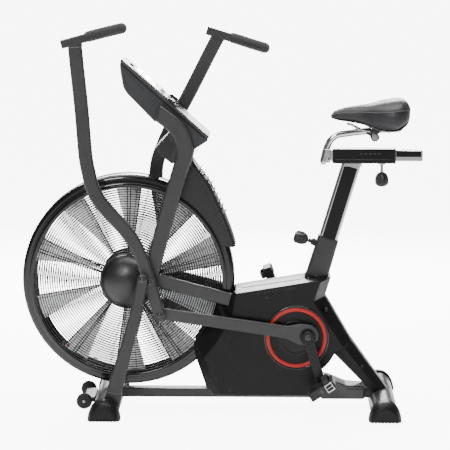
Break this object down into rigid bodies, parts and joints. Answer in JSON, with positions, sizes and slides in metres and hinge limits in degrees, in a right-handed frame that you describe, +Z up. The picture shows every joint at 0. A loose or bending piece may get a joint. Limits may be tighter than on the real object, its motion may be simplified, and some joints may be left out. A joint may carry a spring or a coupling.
{
  "type": "exercise bike",
  "caption": "Upright air-resistance exercise bike with a caged fan wheel, swinging handle arms, pedals, a console and an adjustable saddle.",
  "frame": {"origin": "middle of the footprint, on the floor under the rubber feet", "axes": "+Z up, +X from the fan towards the saddle, -Y the side of the parts named left"},
  "size_m": [1.2876, 0.534, 1.2544],
  "materials": {
    "frame_paint": "satin black powder coat",
    "cage_wire": "black coated wire",
    "cage_rim": "gloss black",
    "cover_plastic": "fine textured black",
    "foot_rubber": "matt",
    "hub_gloss": "high gloss",
    "screen": "glossy window",
    "accent_red": "satin red",
    "belt_rubber": "matt",
    "plain_steel": "turned",
    "crank_black": "semi-gloss black",
    "pedal_plastic": "matt black",
    "fan_paint": "light grey paint",
    "grip_foam": "soft foam",
    "chrome_plate": "bright",
    "saddle_cover": "smooth black leatherette",
    "wheel_rubber": "matt"
  },
  "bodies": {
    "frame": {"front_stabiliser": "frame_paint", "rear_stabiliser": "frame_paint", "foot_cap_front_left": "foot_rubber", "foot_cap_front_right": "foot_rubber", "foot_cap_rear_left": "foot_rubber", "foot_cap_rear_right": "foot_rubber", "base_rail": "frame_paint", "rear_leg": "frame_paint", "cover_left": "cover_plastic", "cover_right": "cover_plastic", "front_leg_left": "frame_paint", "front_leg_right": "frame_paint", "pivot_bracket_left": "frame_paint", "pivot_bracket_right": "frame_paint", "side_frame_left": "frame_paint", "side_frame_right": "frame_paint", "inner_frame": "frame_paint", "seat_tube": "frame_paint", "cage_left": "cage_wire", "cage_right": "cage_wire", "cage_band": "cage_rim", "hub_cap_left": "hub_gloss", "hub_cap_right": "hub_gloss", "wind_guard": "cover_plastic", "console_body": "cover_plastic", "console_panel": "cover_plastic", "console_screen": "screen", "accent_ring_left": "accent_red", "accent_ring_right": "accent_red", "wheel_bracket": "frame_paint", "drive_belt_lower": "belt_rubber", "drive_belt_upper": "belt_rubber"},
    "crank": {"crank_axle": "plain_steel", "crank_hub_left": "crank_black", "crank_hub_right": "crank_black", "crank_arm_left": "crank_black", "crank_arm_right": "crank_black"},
    "rod_left": {"con_rod_left": "frame_paint"},
    "rod_right": {"con_rod_right": "frame_paint"},
    "pedal_left": {"pedal_left": "pedal_plastic", "pedal_strap_left": "belt_rubber"},
    "pedal_right": {"pedal_right": "pedal_plastic", "pedal_strap_right": "belt_rubber"},
    "fan": {"fan_rotor": "fan_paint", "fan_shaft": "plain_steel"},
    "jackshaft": {"jackshaft": "plain_steel"},
    "arm_left": {"arm_left": "frame_paint", "grip_left": "grip_foam"},
    "arm_right": {"arm_right": "frame_paint", "grip_right": "grip_foam"},
    "seat_post": {"seat_post": "chrome_plate", "slider_sleeve": "frame_paint"},
    "slider": {"slider_bar": "chrome_plate", "seat_stem": "chrome_plate"},
    "saddle": {"saddle": "saddle_cover", "saddle_rails": "plain_steel"},
    "height_knob": {"height_knob": "pedal_plastic"},
    "slider_knob": {"slider_knob": "pedal_plastic"},
    "wheel_left": {"wheel_left": "wheel_rubber"},
    "wheel_right": {"wheel_right": "wheel_rubber"}
  },
  "joints": [
    {"name": "crank_spin", "type": "hinge", "parent": "frame", "child": "crank", "pos_m": [0.24225, 0, 0.241], "axis": [0, 1, 0], "continuous": true},
    {"name": "jack_spin", "type": "hinge", "parent": "frame", "child": "jackshaft", "pos_m": [0.11425, 0, 0.345], "axis": [0, 1, 0], "continuous": true},
    {"name": "fan_spin", "type": "hinge", "parent": "frame", "child": "fan", "pos_m": [-0.30075, 0, 0.418], "axis": [0, 1, 0], "continuous": true},
    {"name": "rod_left_turn", "type": "hinge", "parent": "crank", "child": "rod_left", "pos_m": [0.27825, 0, 0.2515], "axis": [0, 1, 0], "continuous": true},
    {"name": "rod_right_turn", "type": "hinge", "parent": "crank", "child": "rod_right", "pos_m": [0.20625, 0, 0.2305], "axis": [0, 1, 0], "continuous": true},
    {"name": "pedal_left_spin", "type": "hinge", "parent": "crank", "child": "pedal_left", "pos_m": [0.32285, 0, 0.0985], "axis": [0, 1, 0], "continuous": true},
    {"name": "pedal_right_spin", "type": "hinge", "parent": "crank", "child": "pedal_right", "pos_m": [0.16165, 0, 0.3835], "axis": [0, 1, 0], "continuous": true},
    {"name": "arm_left_swing", "type": "hinge", "parent": "frame", "child": "arm_left", "pos_m": [-0.22575, 0, 0.43], "axis": [0, 1, 0], "range_deg": [0, 32.5]},
    {"name": "arm_right_swing", "type": "hinge", "parent": "frame", "child": "arm_right", "pos_m": [-0.22575, 0, 0.43], "axis": [0, 1, 0], "range_deg": [-32.5, 0]},
    {"name": "seat_post_slide", "type": "slide", "parent": "frame", "child": "seat_post", "axis": [0.2891, 0, 0.9573], "range_m": [-0.036, 0.1]},
    {"name": "seat_fore_aft", "type": "slide", "parent": "seat_post", "child": "slider", "axis": [1, 0, 0], "range_m": [-0.072, 0.006]},
    {"name": "saddle_tilt", "type": "hinge", "parent": "slider", "child": "saddle", "pos_m": [0.49125, 0, 0.881], "axis": [0, 1, 0], "range_deg": [-4, 4]},
    {"name": "height_knob_pull", "type": "slide", "parent": "frame", "child": "height_knob", "axis": [-0.9573, 0, 0.2891], "range_m": [0, 0.008], "stiffness_N_per_m": 900},
    {"name": "slider_knob_pull", "type": "slide", "parent": "seat_post", "child": "slider_knob", "axis": [0, 0, -1], "range_m": [0, 0.008], "stiffness_N_per_m": 900, "springref_m": -0.003},
    {"name": "wheel_left_spin", "type": "hinge", "parent": "frame", "child": "wheel_left", "pos_m": [-0.44275, 0, 0.0295], "axis": [0, 1, 0], "continuous": true},
    {"name": "wheel_right_spin", "type": "hinge", "parent": "frame", "child": "wheel_right", "pos_m": [-0.44275, 0, 0.0295], "axis": [0, 1, 0], "continuous": true}
  ],
  "couplings": [
    {"joint": "jack_spin", "follows": "crank_spin", "ratio": 4},
    {"joint": "fan_spin", "follows": "crank_spin", "ratio": 4},
    {"joint": "rod_left_turn", "follows": "crank_spin", "ratio": -1},
    {"joint": "rod_right_turn", "follows": "crank_spin", "ratio": -1},
    {"joint": "arm_right_swing", "follows": "arm_left_swing", "ratio": -1}
  ]
}
